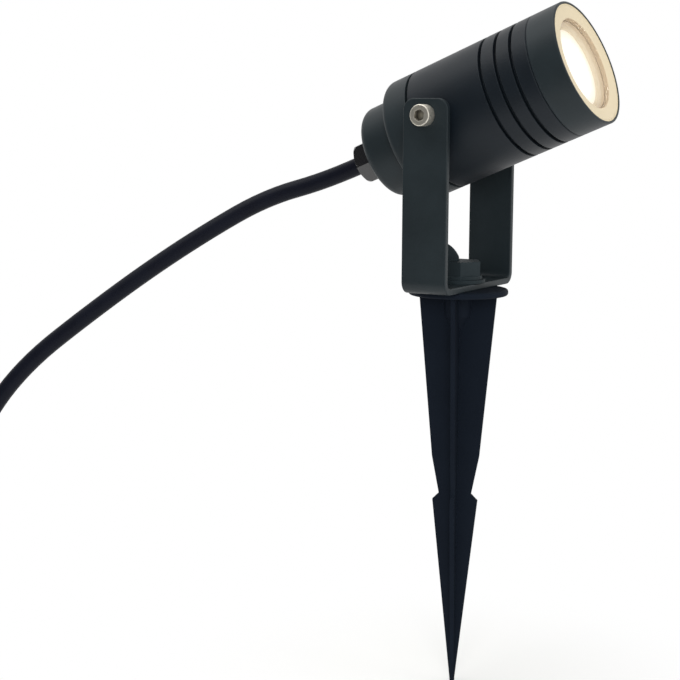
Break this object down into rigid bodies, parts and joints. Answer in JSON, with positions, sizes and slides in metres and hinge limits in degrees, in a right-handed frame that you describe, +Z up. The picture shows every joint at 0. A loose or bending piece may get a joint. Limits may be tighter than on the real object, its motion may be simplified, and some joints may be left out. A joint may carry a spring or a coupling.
{
  "type": "landscape spotlight",
  "caption": "Round spot head with cooling grooves, tilting in a U-shaped yoke on a cross-bladed ground spike, with a lit lens behind glass and a rubber cable from a rear gland.",
  "frame": {"origin": "on the spike's axis at the ground line, 2.4 mm under the spike's flange", "axes": "+Z up the spike's axis, +X the way the head aims, Y along the tilt pivots"},
  "size_m": [0.5117, 0.1644, 0.3354],
  "materials": {
    "coat_anthracite": "powder coat, fine texture",
    "glass_clear": "clear tempered",
    "silicone_cream": "soft",
    "trim_cream": "satin moulded",
    "lens_frosted": "frosted, lit",
    "reflector_white": "bright white",
    "led_phosphor": "phosphor",
    "board_white": "solder mask",
    "board_green": "solder mask",
    "pad_grey": "soft",
    "steel_bright": "bright",
    "rubber_black": "soft",
    "sleeve_grey": "moulded",
    "transformer_yellow": "tape wound",
    "capacitor_black": "sleeved",
    "terminal_green": "moulded",
    "lead_red": "insulation",
    "lead_black": "insulation",
    "core_brown": "insulation",
    "core_blue": "insulation",
    "gland_black": "satin moulded",
    "nylon_black": "moulded",
    "zinc_dark": "blackened zinc",
    "spike_black": "moulded",
    "cable_rubber": "smooth sheath"
  },
  "bodies": {
    "spike": {"ground_spike": "spike_black", "spike_stud": "steel_bright"},
    "yoke": {"yoke_bracket": "coat_anthracite", "flat_washer": "zinc_dark", "cable_lead": "cable_rubber", "cable_coil": "cable_rubber", "coil_tie": "nylon_black", "plug_relief": "cable_rubber", "plug_body": "cable_rubber", "plug_pins": "steel_bright"},
    "thumb_nut": {"thumb_nut": "zinc_dark"},
    "head": {"head_barrel": "coat_anthracite", "front_bezel": "coat_anthracite", "bezel_gasket": "rubber_black", "front_glass": "glass_clear", "glass_seal": "silicone_cream", "trim_ring": "trim_cream", "lens": "lens_frosted", "reflector_cup": "reflector_white", "led_emitter": "led_phosphor", "led_board": "board_white", "thermal_pad": "pad_grey", "led_screws": "steel_bright", "rear_cap": "coat_anthracite", "cap_oring": "rubber_black", "driver_sleeve": "sleeve_grey", "driver_board": "board_green", "driver_transformer": "transformer_yellow", "driver_capacitor": "capacitor_black", "terminal_block": "terminal_green", "led_lead_positive": "lead_red", "led_lead_negative": "lead_black", "supply_core_live": "core_brown", "supply_core_neutral": "core_blue", "gland_body": "gland_black", "gland_seal": "rubber_black", "gland_nut": "gland_black", "cable_end": "cable_rubber", "pivot_screw_near": "steel_bright", "pivot_screw_far": "steel_bright", "pivot_spacer_near": "nylon_black", "pivot_spacer_far": "nylon_black"}
  },
  "joints": [
    {"name": "yoke_swivel", "type": "hinge", "parent": "spike", "child": "yoke", "pos_m": [0, 0, 0.007], "axis": [0, 0, 1], "range_deg": [-180, 180]},
    {"name": "thumb_nut_turn", "type": "hinge", "parent": "spike", "child": "thumb_nut", "pos_m": [0, 0, 0.0145], "axis": [0, 0, 1], "range_deg": [0, 180]},
    {"name": "head_tilt", "type": "hinge", "parent": "yoke", "child": "head", "pos_m": [0, 0, 0.0889], "axis": [0, -1, 0], "range_deg": [-58, 36], "deforming": ["cable_lead"]}
  ]
}
